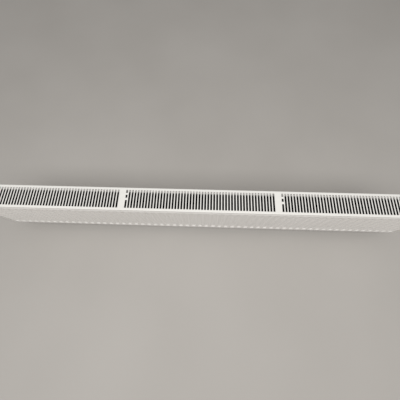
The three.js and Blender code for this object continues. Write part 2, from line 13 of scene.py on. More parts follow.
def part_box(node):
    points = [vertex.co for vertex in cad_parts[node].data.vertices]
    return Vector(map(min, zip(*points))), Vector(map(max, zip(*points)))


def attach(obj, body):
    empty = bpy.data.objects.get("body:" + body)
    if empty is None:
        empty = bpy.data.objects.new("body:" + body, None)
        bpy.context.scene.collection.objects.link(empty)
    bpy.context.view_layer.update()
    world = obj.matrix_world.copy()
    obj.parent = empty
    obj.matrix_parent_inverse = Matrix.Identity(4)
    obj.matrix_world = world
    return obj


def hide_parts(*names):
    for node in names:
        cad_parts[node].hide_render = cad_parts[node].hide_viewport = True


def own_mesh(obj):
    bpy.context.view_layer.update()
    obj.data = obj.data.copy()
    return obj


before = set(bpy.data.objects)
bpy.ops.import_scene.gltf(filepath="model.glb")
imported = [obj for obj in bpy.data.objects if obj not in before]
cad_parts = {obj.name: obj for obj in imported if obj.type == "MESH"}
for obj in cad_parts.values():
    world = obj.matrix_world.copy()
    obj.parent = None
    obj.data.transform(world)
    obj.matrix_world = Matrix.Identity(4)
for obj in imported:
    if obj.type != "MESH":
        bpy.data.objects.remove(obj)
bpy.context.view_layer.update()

# ---------------- places, from the frame

LID_LOW, LID_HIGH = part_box("top_grille")
PANEL_LOW, PANEL_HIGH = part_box("front_water_panel")
TEE_LOW, TEE_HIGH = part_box("top_left_tee")
END_X = LID_HIGH.x
FRONT_Y = LID_LOW.y
REAR_Y = LID_HIGH.y
MID_Y = (FRONT_Y + REAR_Y) / 2
TOP_Z = LID_HIGH.z
TAP_TUBE = 0.013  # radius of a tee's cross tube
TAP_X = -(TEE_HIGH.x - TAP_TUBE)
TAP_HIGH = (TEE_LOW.z + TEE_HIGH.z) / 2
TAP_LINE = (0, MID_Y, TAP_HIGH)  # the valve and the air vent turn about the line along X through here
BOTTOM_TEE_LOW, BOTTOM_TEE_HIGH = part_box("bottom_left_tee")
TAP_LOW = (BOTTOM_TEE_LOW.z + BOTTOM_TEE_HIGH.z) / 2
TEE_FACE = -TEE_LOW.x
SIDES = ("left", "middle", "right")

# ---------------- driving sizes

LID = {
    "sheet": 0.0012,
    "bend": 0.0025,
    "pitch": 0.0125,
    "slot": 0.008,
    "front_rim": 0.0105,
    "rear_rim": 0.011,
}
LID_FIELDS = (-53, 0, 53)  # each field's first slot, in pitches from the middle field's first
FIELD_SLOTS = 51
FIELD_MIDDLE = 25
WEBS = ((0.0135, 0.0225), (0.0365, 0.046))  # across each field's first slot, from its rear end

FLUTE = {"pitch": 0.1 / 3, "last": 29, "mouth": 0.012, "floor": 0.00675, "bottom": 0.031, "top": 0.262}
PRESSING = {"depth": 0.00525, "rise": 0.006, "corner": 0.020}
SEAM = {"side": 0.008, "bottom": 0.005, "top": 0.009}  # width of the flange round the pressing

FIN = {"sheet": 0.0006, "base": 0.009, "crown": 0.014, "first": -28, "last": 26, "bend": 0.0022}

# A near-black grey: the primer's own colour darkened to paint in the shade deep inside the heater.
PRIMER_DARKENED_AS_SHADE = (0.050, 0.052, 0.050)
SHAFT_SHADE_DEPTHS = {"edge": 0.010, "deep": 0.042}  # the paint gives way to near-black primer, a painted shade, between these depths inside the shaft

BOSS = {"bore": 0.0095, "outer": 0.015, "mouth": 0.0142}  # radii of a threaded boss

COVER = {"sheet": 0.0012, "bend": 0.0025, "fold": 0.009, "notch": 0.020, "low_notch": 0.016}

SOFT_EDGE = {
    "sheet": 0.0003,
    "lid_clip": 0.0003,
    "cover_clip": 0.0002,
    "lug": 0.0006,
    "bracket": 0.0007,
    "moulding": 0.0008,
}

RISER = {"radius": 0.009, "bend": 0.020}
SHANK = 0.0092  # radius of the threaded shanks that fill a boss's bore

NIPPLE = {
    "outer": 0.0132,
    "root": 0.0120,
    "thread_top": 0.012,
    "hexagon": 0.0155,
    "hexagon_top": 0.0177,
    "bore": 0.0075,
}
NIPPLE_THREAD = {"pitch": 0.0018, "depth": 0.0011}

VENT = {"neck": 0.0055, "bore": 0.0032, "stem": 0.0028, "head": 0.0035, "end": 0.020}

NOZZLE = {"bore": 0.0058, "outer": 0.0095, "edge": 0.0007}
SPOUT = {"hole": 0.0012, "outer": 0.0025, "root": -0.007}

INSERT = {"sleeve": 0.006, "hexagon": 0.0135, "nose": 0.015, "bore": 0.003}
INSERT_THREAD = {"pitch": 0.0015, "depth": 0.0009}

SPINDLE = {"foot": 0.0055, "rod": 0.0025, "tip": 0.0017}

NUT = {"ribs": 24, "rib": 0.0007, "wide": 0.0153, "narrow": 0.011, "web": 0.003}

WHEEL = {"grips": 8, "grip": 0.0026, "bore": 0.009, "hollow": 0.0157, "dome": 0.0035, "pointer": 0.0095}

COIL = {"wire": 0.00065, "turns": 7, "per_turn": 20, "sides": 8}

WARM_WHITE = (1.0, 0.985, 0.965)
WORLD_STRENGTH = 0.46

# ---------------- mesh helpers


def mesh_object(name, vertices, faces, smooth_angle=35):
    """A new mesh object from points and faces, with outward normals and no double points."""
    mesh = bpy.data.meshes.new(name)
    mesh.from_pydata([tuple(v) for v in vertices], [], faces)
    obj = bpy.data.objects.new(name, mesh)
    bpy.context.scene.collection.objects.link(obj)
    tidy(obj, smooth_angle)
    return obj


def tidy(obj, smooth_angle=35):
    """Merges double points, drops empty faces, turns normals outward and shades smooth up to an angle."""
    work = bmesh.new()
    work.from_mesh(obj.data)
    bmesh.ops.remove_doubles(work, verts=work.verts, dist=1e-6)
    bmesh.ops.dissolve_degenerate(work, edges=work.edges, dist=1e-7)
    bmesh.ops.recalc_face_normals(work, faces=work.faces)
    work.to_mesh(obj.data)
    work.free()
    obj.data.shade_smooth()
    obj.data.set_sharp_from_angle(angle=math.radians(smooth_angle))


def apply_modifiers(obj, smooth_angle=35):
    """Replaces the object's mesh by what its modifiers make of it."""
    graph = bpy.context.evaluated_depsgraph_get()
    made = bpy.data.meshes.new_from_object(obj.evaluated_get(graph))
    obj.modifiers.clear()
    obj.data = made
    obj.data.shade_smooth()
    obj.data.set_sharp_from_angle(angle=math.radians(smooth_angle))


def thicken(obj, thickness, offset=-1.0):
    """Gives a sheet its thickness, behind its faces unless the offset says otherwise."""
    modifier = obj.modifiers.new("thickness", "SOLIDIFY")
    modifier.thickness = thickness
    modifier.offset = offset
    modifier.use_even_offset = True
    apply_modifiers(obj)


def round_edges(obj, width, segments=2, angle=40):
    modifier = obj.modifiers.new("round", "BEVEL")
    modifier.width = width
    modifier.segments = segments
    modifier.limit_method = "ANGLE"
    modifier.angle_limit = math.radians(angle)
    modifier.harden_normals = False
    apply_modifiers(obj)


def grid_faces(rows, columns, wrap=False):
    """Quads between the points of a grid that is stored row by row."""
    faces = []
    for row in range(rows - 1):
        for column in range(columns if wrap else columns - 1):
            beside = (column + 1) % columns
            a, b = row * columns + column, row * columns + beside
            faces.append((a, b, b + columns, a + columns))
    return faces


def loft(name, rings, caps=True, smooth_angle=35):
    """A surface through closed rings of equal length, with a face over each end ring."""
    count = len(rings[0])
    vertices = [point for ring in rings for point in ring]
    faces = grid_faces(len(rings), count, wrap=True)
    if caps:
        faces.append(tuple(range(count)))
        faces.append(tuple(range((len(rings) - 1) * count, len(rings) * count)))
    return mesh_object(name, vertices, faces, smooth_angle)


def turned_point(axis, centre, place, radius, angle):
    """The point at a place along an axis, a radius away from it at an angle."""
    a, b = radius * math.cos(angle), radius * math.sin(angle)
    return Vector(centre) + Vector({"x": (place, a, b), "y": (a, place, b), "z": (a, b, place)}[axis])


def round_body(name, axis, centre, profile, sides=40, ripple=None, smooth_angle=35):
    """A turned body. The profile lists (place along the axis, radius) from one end to the other; ripple
    changes the radius by (angle, place)."""
    rings = []
    for place, radius in profile:
        ring = []
        for i in range(sides):
            angle = 2 * math.pi * i / sides
            r = radius + (ripple(angle, place) if ripple else 0)
            ring.append(turned_point(axis, centre, place, r, angle))
        rings.append(ring)
    return loft(name, rings, True, smooth_angle)


def turned_ring(name, axis, centre, profile, sides=40, smooth_angle=35):
    """A turned body with a hole through it: the profile goes round and ends where it began."""
    vertices, count = [], len(profile)
    for i in range(sides):
        angle = 2 * math.pi * i / sides
        for place, radius in profile:
            vertices.append(turned_point(axis, centre, place, radius, angle))
    faces = []
    for i in range(sides):
        for j in range(count):
            a, b = i * count + j, i * count + (j + 1) % count
            c, d = (i + 1) % sides * count + (j + 1) % count, (i + 1) % sides * count + j
            faces.append((a, b, c, d))
    return mesh_object(name, vertices, faces, smooth_angle)


def combine(name, parts):
    """Several closed bodies that meet, as one object."""
    work = bmesh.new()
    for part in parts:
        work.from_mesh(part.data)
    mesh = bpy.data.meshes.new(name)
    work.to_mesh(mesh)
    work.free()
    for part in parts:
        bpy.data.objects.remove(part)
    obj = bpy.data.objects.new(name, mesh)
    bpy.context.scene.collection.objects.link(obj)
    obj.data.set_sharp_from_angle(angle=math.radians(35))
    return obj


def refined(node, width, segments=2):
    """A copy of a CAD node's shape with its flat faces joined up and its edges rounded."""
    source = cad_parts[node]
    obj = bpy.data.objects.new(node + "_fine", source.data.copy())
    bpy.context.scene.collection.objects.link(obj)
    obj.data.materials.clear()
    work = bmesh.new()
    work.from_mesh(obj.data)
    bmesh.ops.remove_doubles(work, verts=work.verts, dist=1e-6)
    bmesh.ops.dissolve_limit(work, angle_limit=math.radians(2), verts=work.verts, edges=work.edges)
    work.to_mesh(obj.data)
    work.free()
    round_edges(obj, width, segments)
    return obj


def flip_x(obj):
    """Turns a piece drawn for the right-hand end into the left-hand one."""
    obj.data.transform(Matrix.Scale(-1, 4, (1, 0, 0)))
    obj.data.flip_normals()
    return obj


def place(obj, body, material, slot, *nodes):
    """Finishes a piece: its material, the body that it rides on and the CAD nodes that it stands for."""
    obj.data.materials.clear()
    obj.data.materials.append(material)
    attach(obj, body)
    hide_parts(*nodes)
    return obj


# ---------------- material helpers


class Nodes:
    """The node tree of a new material, with short ways to add what every finish here uses."""

    def __init__(self, name):
        self.material = bpy.data.materials.new(name)
        self.material.use_nodes = True
        self.tree = self.material.node_tree
        self.shader = self.tree.nodes["Principled BSDF"]
        self.place = self.add("ShaderNodeTexCoord").outputs["Object"]

    def add(self, kind):
        return self.tree.nodes.new(kind)

    def link(self, output, socket):
        self.tree.links.new(output, socket)

    def stretched(self, scale):
        """Object coordinates scaled unevenly, for marks that run one way."""
        mapping = self.add("ShaderNodeMapping")
        mapping.inputs["Scale"].default_value = scale
        self.link(self.place, mapping.inputs["Vector"])
        return mapping.outputs["Vector"]

    def noise(self, scale, detail=3, roughness=0.5, place=None):
        """Noise with features of about 1 / scale metres."""
        noise = self.add("ShaderNodeTexNoise")
        noise.inputs["Scale"].default_value = scale
        noise.inputs["Detail"].default_value = detail
        noise.inputs["Roughness"].default_value = roughness
        self.link(place or self.place, noise.inputs["Vector"])
        return noise.outputs["Fac"]

    def cells(self, scale):
        cells = self.add("ShaderNodeTexVoronoi")
        cells.inputs["Scale"].default_value = scale
        self.link(self.place, cells.inputs["Vector"])
        return cells.outputs["Color"]

    def between(self, source, low, high, start=0.3, end=0.7):
        """The source's range from start to end, by default a noise's middle, spread over low to high."""
        spread = self.add("ShaderNodeMapRange")
        spread.inputs["From Min"].default_value = start
        spread.inputs["From Max"].default_value = end
        spread.inputs["To Min"].default_value = low
        spread.inputs["To Max"].default_value = high
        self.link(source, spread.inputs["Value"])
        return spread.outputs["Result"]

    def calculate(self, operation, first, second):
        """One number made from two, each a value or an output."""
        step = self.add("ShaderNodeMath")
        step.operation = operation
        for socket, value in zip(step.inputs, (first, second)):
            if isinstance(value, (int, float)):
                socket.default_value = value
            else:
                self.link(value, socket)
        return step.outputs["Value"]

    def part(self, vector, axis):
        """One of a vector's three numbers."""
        split = self.add("ShaderNodeSeparateXYZ")
        self.link(vector, split.inputs["Vector"])
        return split.outputs[axis]

    def mix(self, factor, first, second):
        """Two colours, or the outputs that carry them, mixed."""
        mix = self.add("ShaderNodeMix")
        mix.data_type = "RGBA"
        self.link(factor, mix.inputs["Factor"])
        for socket, value in ((mix.inputs[6], first), (mix.inputs[7], second)):
            if isinstance(value, tuple):
                socket.default_value = (*value, 1)
            else:
                self.link(value, socket)
        return mix.outputs[2]

    def bump(self, height, distance, strength=1.0, below=None):
        bump = self.add("ShaderNodeBump")
        bump.inputs["Strength"].default_value = strength
        bump.inputs["Distance"].default_value = distance
        self.link(height, bump.inputs["Height"])
        if below is not None:
            self.link(below, bump.inputs["Normal"])
        return bump.outputs["Normal"]

    def finish(self, color, roughness, normal, metallic=0.0):
        self.link(color, self.shader.inputs["Base Color"])
        self.link(roughness, self.shader.inputs["Roughness"])
        self.link(normal, self.shader.inputs["Normal"])
        self.shader.inputs["Metallic"].default_value = metallic
        return self.material


def shaft_shade_mask(n):
    """How far a water panel's paint gives way to the near-black primer: 0 outside and at its edges, 1
    deep in the shaft between the panels. Partly the real thin coat there, mostly painted shade for the
    dark shaft.
    """
    normal = n.add("ShaderNodeNewGeometry").outputs["Normal"]
    from_shaft = n.calculate("SUBTRACT", MID_Y, n.part(n.place, "Y"))
    inward = n.calculate("MULTIPLY", from_shaft, n.part(normal, "Y"))
    facing = n.between(inward, 0, 1, 0.0, 0.02)
    middle, half = (PANEL_HIGH.z + PANEL_LOW.z) / 2, (PANEL_HIGH.z - PANEL_LOW.z) / 2
    from_middle = n.calculate("ABSOLUTE", n.calculate("SUBTRACT", n.part(n.place, "Z"), middle), 0)
    deep = n.between(from_middle, 1, 0, half - SHAFT_SHADE_DEPTHS["deep"], half - SHAFT_SHADE_DEPTHS["edge"])
    return n.calculate("MULTIPLY", facing, deep)


def powder_coat(name, light, dark, bare_in_shade=None):
    """White powder coat with fine orange peel, a slight wave in the sheet and a faintly uneven tone.
    Where the mask says so, the near-black primer shows instead: painted shade for the depth of the
    heater, where the real coat is also thin."""
    n = Nodes(name)
    tone = n.mix(n.between(n.noise(3.0, 4), 0, 1), dark, light)
    specks = n.between(n.noise(260.0, 2), 0.0, 1.0)
    color = n.mix(specks, tone, light)
    if bare_in_shade:
        # Painted shade: near-black primer in place of the white paint on the faces deep in the shaft.
        color = n.mix(bare_in_shade(n), color, PRIMER_DARKENED_AS_SHADE)
    roughness = n.between(n.noise(45.0, 3), 0.36, 0.46)
    wave = n.bump(n.noise(7.0, 1), 0.0008, 0.35)
    peel = n.bump(n.noise(850.0, 2, 0.4), 0.00006, 0.5, wave)
    n.shader.inputs["Coat Weight"].default_value = 0.12
    n.shader.inputs["Coat Roughness"].default_value = 0.25
    return n.finish(color, roughness, peel)


def shaded_primer_coat():
    """Thin primer on the convectors, darkened nearly to black as painted shade for the unlit inside
    between the panels, with runs down the sheet and dust.
    """
    n = Nodes("shaded_primer_coat")
    runs = n.between(n.noise(60.0, 3, 0.6, n.stretched((1, 1, 0.08))), 0, 1)
    # Painted shade: both primer tones are near-black, standing for the shade inside the heater.
    color = n.mix(runs, (0.028, 0.029, 0.028), PRIMER_DARKENED_AS_SHADE)
    roughness = n.between(n.noise(90.0, 3), 0.6, 0.82)
    grit = n.bump(n.noise(1400.0, 3, 0.6), 0.00005, 0.6)
    return n.finish(color, roughness, grit)


def galvanised():
    """Zinc coating with its crystal spangle."""
    n = Nodes("galvanised")
    spangle = n.cells(130.0)
    grey = n.add("ShaderNodeRGBToBW")
    n.link(spangle, grey.inputs["Color"])
    color = n.mix(grey.outputs["Val"], (0.44, 0.46, 0.48), (0.66, 0.68, 0.70))
    roughness = n.between(grey.outputs["Val"], 0.34, 0.5)
    scuffs = n.bump(n.noise(300.0, 4, 0.6), 0.00004, 0.5)
    return n.finish(color, roughness, scuffs, 0.9)


def turned_metal(name, light, dark, roughness_low, roughness_high):
    """Metal that was turned on a lathe along X: fine rings and a little tarnish."""
    n = Nodes(name)
    color = n.mix(n.between(n.noise(120.0, 4), 0, 1), dark, light)
    roughness = n.between(n.noise(500.0, 3), roughness_low, roughness_high)
    rings = n.bump(n.noise(90.0, 1, 0.5, n.stretched((60, 1, 1))), 0.00003, 0.5)
    return n.finish(color, roughness, rings, 1.0)


def moulded_plastic(name, light, dark, grain=2200.0):
    """Moulded plastic with a fine spark-eroded grain."""
    n = Nodes(name)
    color = n.mix(n.between(n.noise(80.0, 3), 0, 1), dark, light)
    roughness = n.between(n.noise(300.0, 2), 0.42, 0.56)
    skin = n.bump(n.noise(grain, 2), 0.00004, 0.5)
    return n.finish(color, roughness, skin)


def sealing_rubber():
    n = Nodes("sealing_rubber")
    color = n.mix(n.between(n.noise(700.0, 3), 0, 1), (0.012, 0.012, 0.013), (0.03, 0.03, 0.031))
    roughness = n.between(n.noise(400.0, 2), 0.7, 0.88)
    return n.finish(color, roughness, n.bump(n.noise(1800.0, 2), 0.00005, 0.5))


def spring_steel():
    """Bright rolled spring steel with fine lines along Z."""
    n = Nodes("spring_steel")
    color = n.mix(n.between(n.noise(200.0, 3), 0, 1), (0.33, 0.34, 0.36), (0.52, 0.53, 0.55))
    roughness = n.between(n.noise(600.0, 2), 0.25, 0.4)
    lines = n.bump(n.noise(700.0, 2, 0.5, n.stretched((1, 1, 0.05))), 0.00003, 0.5)
    return n.finish(color, roughness, lines, 1.0)


PAINT = powder_coat("powder_coat", (0.83, 0.82, 0.79), (0.79, 0.775, 0.745))
# The panels' paint carries the painted shade of the shaft between them.
PANEL_PAINT = powder_coat("powder_coat_panel", (0.83, 0.81, 0.785), (0.79, 0.77, 0.745), shaft_shade_mask)
# A lighter copy of the same white paint for the lid: a painted highlight on the heater's top, which faces
# the light.
LID_PAINT_LIT = powder_coat("powder_coat_lid_lit", (0.85, 0.84, 0.81), (0.81, 0.80, 0.77))
# The convectors' primer, darkened as painted shade.
SHADED_PRIMER = shaded_primer_coat()
ZINC = galvanised()
NICKEL = turned_metal("nickel_plate", (0.74, 0.72, 0.67), (0.62, 0.60, 0.55), 0.16, 0.3)
BRASS = turned_metal("turned_brass", (0.74, 0.56, 0.27), (0.60, 0.43, 0.20), 0.2, 0.38)
WHITE_PLASTIC = moulded_plastic("white_plastic", (0.84, 0.84, 0.81), (0.78, 0.78, 0.75))
GREY_PLASTIC = moulded_plastic("grey_plastic", (0.13, 0.14, 0.15), (0.09, 0.10, 0.105))
RUBBER = sealing_rubber()
SPRING = spring_steel()

# ---------------- lid


def lid_slots():
    """Each slot as (low x, high x, its holes as (front y, rear y))."""
    front, rear = FRONT_Y + LID["front_rim"], REAR_Y - LID["rear_rim"]
    edges = [rear] + [rear - distance for web in WEBS for distance in web] + [front]
    broken = [(edges[i + 1], edges[i]) for i in range(0, len(edges), 2)]
    slots = []
    for first in LID_FIELDS:
        for i in range(FIELD_SLOTS):
            x = (first - FIELD_MIDDLE + i) * LID["pitch"]
            holes = broken if i == 0 else [(front, rear)]
            slots.append((x - LID["slot"] / 2, x + LID["slot"] / 2, holes))
    return slots


def bent_rim(border, low_z):
    """The bend and skirt outside a flat sheet's border, as rings of points from the sheet down.
    The border is a list of (point, outward direction); a corner has a fan of directions."""
    steps = 6
    rings = []
    for step in range(steps + 1):
        angle = math.pi / 2 * step / steps
        out, down = LID["bend"] * math.sin(angle), LID["bend"] * (1 - math.cos(angle))
        rings.append([point + direction * out - Vector((0, 0, down)) for point, direction in border])
    rings.append([Vector((p.x, p.y, low_z)) for p in rings[-1]])
    return rings


def lid():
    slots = lid_slots()
    inner_x, low_y, high_y = END_X - LID["bend"], FRONT_Y + LID["bend"], REAR_Y - LID["bend"]
    xs = sorted({-inner_x, inner_x, *[x for slot in slots for x in slot[:2]]})
    ys = sorted({low_y, high_y, *[y for slot in slots for hole in slot[2] for y in hole]})
    holes = {}
    for low_x, _, spans in slots:
        holes[low_x] = spans
    vertices = [Vector((x, y, TOP_Z)) for y in ys for x in xs]
    columns = len(xs)
    faces = []
    for j in range(len(ys) - 1):
        for i in range(columns - 1):
            spans = holes.get(xs[i], [])
            if any(front <= ys[j] and ys[j + 1] <= rear for front, rear in spans):
                continue
            a = j * columns + i
            faces.append((a, a + 1, a + 1 + columns, a + columns))
    border = []
    corner_steps = 5

    def corner(x, y, start):
        for k in range(corner_steps + 1):
            angle = start + math.pi / 2 * k / corner_steps
            border.append((Vector((x, y, TOP_Z)), Vector((math.cos(angle), math.sin(angle), 0))))

    border += [(Vector((x, low_y, TOP_Z)), Vector((0, -1, 0))) for x in xs[1:-1]]
    corner(inner_x, low_y, -math.pi / 2)
    border += [(Vector((inner_x, y, TOP_Z)), Vector((1, 0, 0))) for y in ys[1:-1]]
    corner(inner_x, high_y, 0)
    border += [(Vector((x, high_y, TOP_Z)), Vector((0, 1, 0))) for x in reversed(xs[1:-1])]
    corner(-inner_x, high_y, math.pi / 2)
    border += [(Vector((-inner_x, y, TOP_Z)), Vector((-1, 0, 0))) for y in reversed(ys[1:-1])]
    corner(-inner_x, low_y, math.pi)
    rings = bent_rim(border, LID_LOW.z)
    base = len(vertices)
    for ring in rings:
        vertices += ring
    faces += [tuple(base + i for i in face) for face in grid_faces(len(rings), len(border), wrap=True)]
    obj = mesh_object("lid", vertices, faces)
    face_up(obj)
    thicken(obj, LID["sheet"])
    round_edges(obj, SOFT_EDGE["sheet"])
    place(obj, "lid", LID_PAINT_LIT, "white_paint", "top_grille")


def face_up(obj):
    """Turns an open sheet's faces so that the flat top looks up."""
    top = max(obj.data.polygons, key=lambda face: face.area)
    if top.normal.z < 0:
        obj.data.flip_normals()


# ---------------- water panels


def ease(t):
    """0 to 1 with level ends."""
    t = min(max(t, 0.0), 1.0)
    return t * t * (3 - 2 * t)


def lines(points):
    """Sorted places with near doubles dropped."""
    kept = []
    for p in sorted(points):
        if not kept or p - kept[-1] > 1e-5:
            kept.append(p)
    return kept


def edge_steps(seam):
    """Distances in from a panel's edge where its surface turns: on the flange, then up the pressing."""
    return [0, seam * 0.3, seam * 0.5, seam * 0.7] + [seam + PRESSING["rise"] * k / 5 for k in range(6)]


def inside_pressing(x, z, half_x, half_z):
    """How far inside the pressing's rounded outline a point lies."""
    corner = PRESSING["corner"] - SEAM["side"]
    middle = (SEAM["bottom"] - SEAM["top"]) / 2
    across = abs(x) - (half_x - SEAM["side"]) + corner
    up = abs(z - middle) - (half_z - (SEAM["bottom"] + SEAM["top"]) / 2) + corner
    return corner - math.hypot(max(across, 0), max(up, 0)) - min(max(across, up), 0)


def beyond_flute(x, z, half_z):
    """How far outside the middle line of the nearest flute a point lies, with nearly square ends."""
    index = min(max(round(x / FLUTE["pitch"]), -FLUTE["last"]), FLUTE["last"])
    low, high = flute_ends(half_z)
    away_x, away_z = abs(x - index * FLUTE["pitch"]), max(low - z, z - high, 0)
    return (away_x**4 + away_z**4) ** 0.25


def pressed_depth(x, z, half_x, half_z):
    """How far below its crests the pressed sheet lies: the seam flange with its weld, then the flutes."""
    inside = inside_pressing(x, z, half_x, half_z)
    flange = PRESSING["depth"] * (1 - ease(inside / PRESSING["rise"]))
    weld = 0.0003 * math.exp(-(((inside + SEAM["side"] / 2) / 0.0012) ** 2))
    run = FLUTE["mouth"] - FLUTE["floor"]
    flute = PRESSING["depth"] * (1 - ease((beyond_flute(x, z, half_z) - FLUTE["floor"]) / run))
    return max(flange, flute) + weld


def flute_ends(half_z):
    """Where a flute's ends begin, from the panel's mid-height."""
    return FLUTE["bottom"] + FLUTE["mouth"] - half_z, FLUTE["top"] - FLUTE["mouth"] - half_z


def rounded_place(x, z, half_x, half_z):
    """Moves a point of a square-cornered grid into the panel's rounded corner."""
    corner = PRESSING["corner"]
    u, v = (abs(x) - half_x + corner) / corner, (abs(z) - half_z + corner) / corner
    if u <= 0 or v <= 0:
        return x, z
    u, v = u * math.sqrt(1 - v * v / 2), v * math.sqrt(1 - u * u / 2)
    return (
        math.copysign(half_x - corner + u * corner, x),
        math.copysign(half_z - corner + v * corner, z),
    )


def water_panel(water):
    """A water panel: two pressed sheets that meet at the seam flange and at the flutes' floors."""
    node = water + "_water_panel"
    low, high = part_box(node)
    half_x, half_z, mid_z = (high.x - low.x) / 2, (high.z - low.z) / 2, (high.z + low.z) / 2
    mouth, floor = FLUTE["mouth"], FLUTE["floor"]
    across = [floor + (mouth - floor) * k / 4 for k in range(5)]
    middles = [k * FLUTE["pitch"] for k in range(-FLUTE["last"], FLUTE["last"] + 1)]
    xs = middles + [middle + side * a for middle in middles for a in across for side in (-1, 1)]
    xs = lines(xs + [side * (half_x - e) for e in edge_steps(SEAM["side"]) for side in (-1, 1)])
    bottom, top = flute_ends(half_z)
    ends = [mouth * k / 8 for k in range(9)]
    zs = [bottom - e for e in ends] + [top + e for e in ends] + [bottom * 0.5, 0.0, top * 0.5]
    zs += [e - half_z for e in edge_steps(SEAM["bottom"])]
    zs = lines(zs + [half_z - e for e in edge_steps(SEAM["top"])])
    vertices = []
    for side in (0, 1):
        for z in zs:
            for x in xs:
                px, pz = rounded_place(x, z, half_x, half_z)
                depth = pressed_depth(px, pz, half_x, half_z)
                y = low.y + depth if side == 0 else high.y - depth
                vertices.append((px, y, pz + mid_z))
    columns, rows = len(xs), len(zs)
    one_side = columns * rows
    faces = grid_faces(rows, columns)
    faces += [tuple(one_side + i for i in reversed(face)) for face in grid_faces(rows, columns)]
    border = (
        [i for i in range(columns)]
        + [r * columns + columns - 1 for r in range(1, rows)]
        + [(rows - 1) * columns + i for i in range(columns - 2, -1, -1)]
        + [r * columns for r in range(rows - 2, 0, -1)]
    )
    for k, here in enumerate(border):
        after = border[(k + 1) % len(border)]
        faces.append((here, after, after + one_side, here + one_side))
    obj = mesh_object(water + "_panel_fine", vertices, faces, 50)
    place(obj, "heater", PANEL_PAINT, "white_paint", node)


# ---------------- convectors


def bent_path(corners, radius, steps=3):
    """A path of (x, y) points whose corners are bent to a radius."""
    path = [Vector(corners[0])]
    for i in range(1, len(corners) - 1):
        here = Vector(corners[i])
        back = (Vector(corners[i - 1]) - here).normalized()
        ahead = (Vector(corners[i + 1]) - here).normalized()
        half = back.angle(ahead) / 2
        reach = radius / math.tan(half)
        start, end = here + back * reach, here + ahead * reach
        for k in range(steps + 1):
            t = k / steps
            path.append(start * (1 - t) ** 2 + here * 2 * t * (1 - t) + end * t * t)
    path.append(Vector(corners[-1]))
    return path


def convector(water):
    """A corrugated sheet: flats on the panel's crests and crowns towards the middle."""
    node = water + "_convector"
    low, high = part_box(node)
    half = FIN["sheet"] / 2
    front = high.y < MID_Y
    near, far = (low.y + half, high.y - half) if front else (high.y - half, low.y + half)
    lean = (FLUTE["pitch"] - FIN["base"] - FIN["crown"]) / 2
    wave = []
    for i in range(FIN["first"], FIN["last"] + 1):
        x = (i + 0.5) * FLUTE["pitch"]
        wave += [(x - FIN["base"] / 2, near), (x + FIN["base"] / 2, near)]
        if i < FIN["last"]:
            crown = x + FIN["base"] / 2 + lean
            wave += [(crown, far), (crown + FIN["crown"], far)]
    path = bent_path(wave, FIN["bend"])
    vertices = [(p.x, p.y, z) for z in (low.z, high.z) for p in path]
    obj = mesh_object(node + "_fine", vertices, grid_faces(2, len(path)))
    thicken(obj, FIN["sheet"], 0.0)
    place(obj, "heater", SHADED_PRIMER, "primed_steel", node)


# ---------------- side covers


def side_cover(side):
    """A tray over the ends of the panels, with a notch at each tapping, drawn for the right-hand end."""
    node = side + "_side_cover"
    low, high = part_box(node)
    end, bend, fold = END_X, COVER["bend"], COVER["fold"]
    low_z, high_z = low.z, high.z
    front, rear = low.y, high.y

    def arc(y, z, radius, start, stop, steps=28):
        angles = [start + (stop - start) * k / steps for k in range(steps + 1)]
        return [(end, y + radius * math.cos(a), z + radius * math.sin(a)) for a in angles]

    web = [(end, front + bend, low_z), (end, MID_Y - COVER["low_notch"], low_z)]
    web += arc(MID_Y, TAP_LOW, COVER["low_notch"], math.pi, 0)
    web += [(end, MID_Y + COVER["low_notch"], low_z), (end, rear - bend, low_z)]
    web += [(end, rear - bend, high_z), (end, MID_Y + COVER["notch"], high_z)]
    web += arc(MID_Y, TAP_HIGH, COVER["notch"], 0, -math.pi)
    web += [(end, MID_Y - COVER["notch"], high_z), (end, front + bend, high_z)]
    vertices = list(web)
    faces = [tuple(range(len(web)))]
    for edge, outward in ((front, -1), (rear, 1)):
        profile = []
        for k in range(7):
            angle = math.pi / 2 * k / 6
            y = edge - outward * bend * (1 - math.sin(angle))
            profile.append((end - bend * (1 - math.cos(angle)), y))
        profile.append((end - fold, edge))
        base = len(vertices)
        vertices += [(x, y, z) for z in (low_z, high_z) for x, y in profile]
        faces += [tuple(base + i for i in face) for face in grid_faces(2, len(profile))]
    obj = mesh_object(side + "_cover", vertices, faces)
    web_face = max(obj.data.polygons, key=lambda face: face.area)
    if web_face.normal.x < 0:
        obj.data.flip_normals()
    thicken(obj, COVER["sheet"])
    round_edges(obj, SOFT_EDGE["sheet"])
    if side == "left":
        flip_x(obj)
    place(obj, side + "_cover", PAINT, "white_paint", node)


# ---------------- tees, connections and riser


def thread(pitch, depth):
    """A ripple that winds a rounded thread round a turned body."""

    def ripple(angle, along):
        turn = (along / pitch - angle / (2 * math.pi)) % 1.0
        return -depth * (0.5 + 0.5 * math.cos(2 * math.pi * turn))

    return ripple


def evenly(start, stop, count):
    """Places from start to stop, both included, with count equal steps between them."""
    return [start + (stop - start) * k / count for k in range(count + 1)]


def tee(node):
    """A corner tee: a flared cross tube, an outward boss and, where the node reaches down, a socket."""
    name = node + "_fine"
    low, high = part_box(node)
    sign = 1 if low.x > 0 else -1
    z = TAP_HIGH if (low.z + high.z) / 2 > 0 else TAP_LOW
    centre = (sign * TAP_X, MID_Y, z)
    tube = round_body(name + "_tube", "y", centre, welded_tube((high.y - low.y) / 2))
    boss = turned_ring(name + "_boss", "x", centre, [(sign * p, r) for p, r in socket(TEE_FACE - TAP_X)])
    parts = [tube, boss]
    if z - low.z > BOSS["outer"] + 0.001:
        below = [(-p, r) for p, r in socket(z - low.z)]
        parts.append(turned_ring(name + "_socket", "z", centre, below))
    place(combine(name, parts), "heater", PAINT, "white_paint", node)


